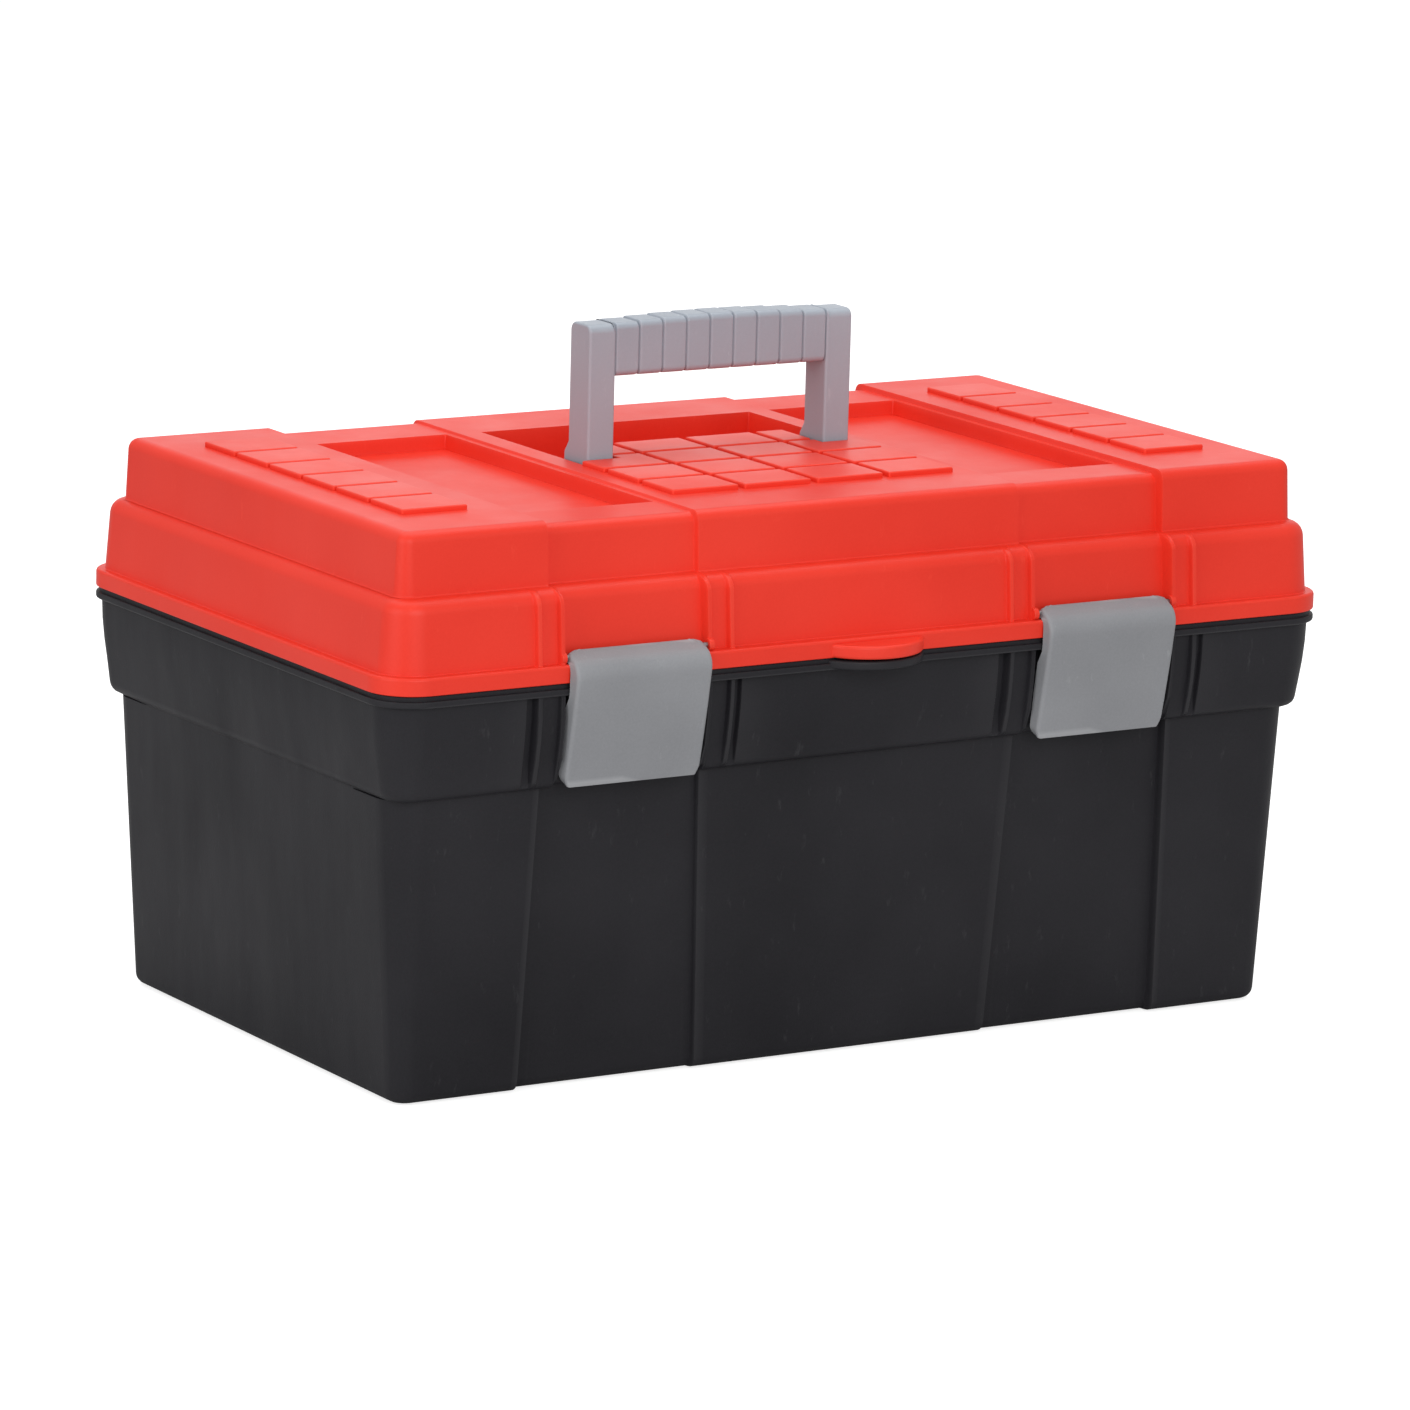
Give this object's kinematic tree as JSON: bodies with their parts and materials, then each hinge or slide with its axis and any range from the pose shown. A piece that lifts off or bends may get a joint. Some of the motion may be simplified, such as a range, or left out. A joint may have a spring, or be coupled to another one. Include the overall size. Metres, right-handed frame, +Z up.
{
  "type": "hand-carry tool box",
  "caption": "Moulded plastic tool box: black tub, red hinged lid with latches, shallow top trays, folding carry handle and a lift-out tray.",
  "frame": {"origin": "centre of the tub's flat underside", "axes": "+X along the box's length to the right seen from the front, +Y to the back where the hinges are, +Z up"},
  "size_m": [0.43, 0.2706, 0.2777],
  "materials": {
    "tub_plastic": "fine-grained moulded polypropylene",
    "lid_plastic": "satin moulded polypropylene",
    "handle_plastic": "satin moulded plastic",
    "latch_plastic": "fine-grained moulded plastic",
    "pin_steel": "drawn wire"
  },
  "bodies": {
    "base": {"base_shell": "tub_plastic", "hinge_pin_left": "pin_steel", "hinge_pin_right": "pin_steel"},
    "lid": {"lid_shell": "lid_plastic", "latch_pin_left": "pin_steel", "latch_pin_right": "pin_steel", "handle_pin_left": "pin_steel", "handle_pin_right": "pin_steel"},
    "handle": {"carry_handle": "handle_plastic"},
    "left_latch": {"latch_left": "latch_plastic"},
    "right_latch": {"latch_right": "latch_plastic"},
    "tray": {"lift_out_tray": "tub_plastic"}
  },
  "joints": [
    {"name": "lid_hinge", "type": "hinge", "parent": "base", "child": "lid", "pos_m": [0, 0.127, 0.16215], "axis": [-1, 0, 0], "range_deg": [0, 105]},
    {"name": "handle_fold", "type": "hinge", "parent": "lid", "child": "handle", "pos_m": [0, 0.00075, 0.213], "axis": [-1, 0, 0], "range_deg": [0, 90]},
    {"name": "left_latch_hinge", "type": "hinge", "parent": "lid", "child": "left_latch", "pos_m": [-0.107, -0.1246, 0.1715], "axis": [-1, 0, 0], "range_deg": [0, 90]},
    {"name": "right_latch_hinge", "type": "hinge", "parent": "lid", "child": "right_latch", "pos_m": [0.107, -0.1246, 0.1715], "axis": [-1, 0, 0], "range_deg": [0, 90]},
    {"name": "tray_lift", "type": "slide", "parent": "base", "child": "tray", "axis": [0, 0, 1], "range_m": [0, 0.018]}
  ]
}
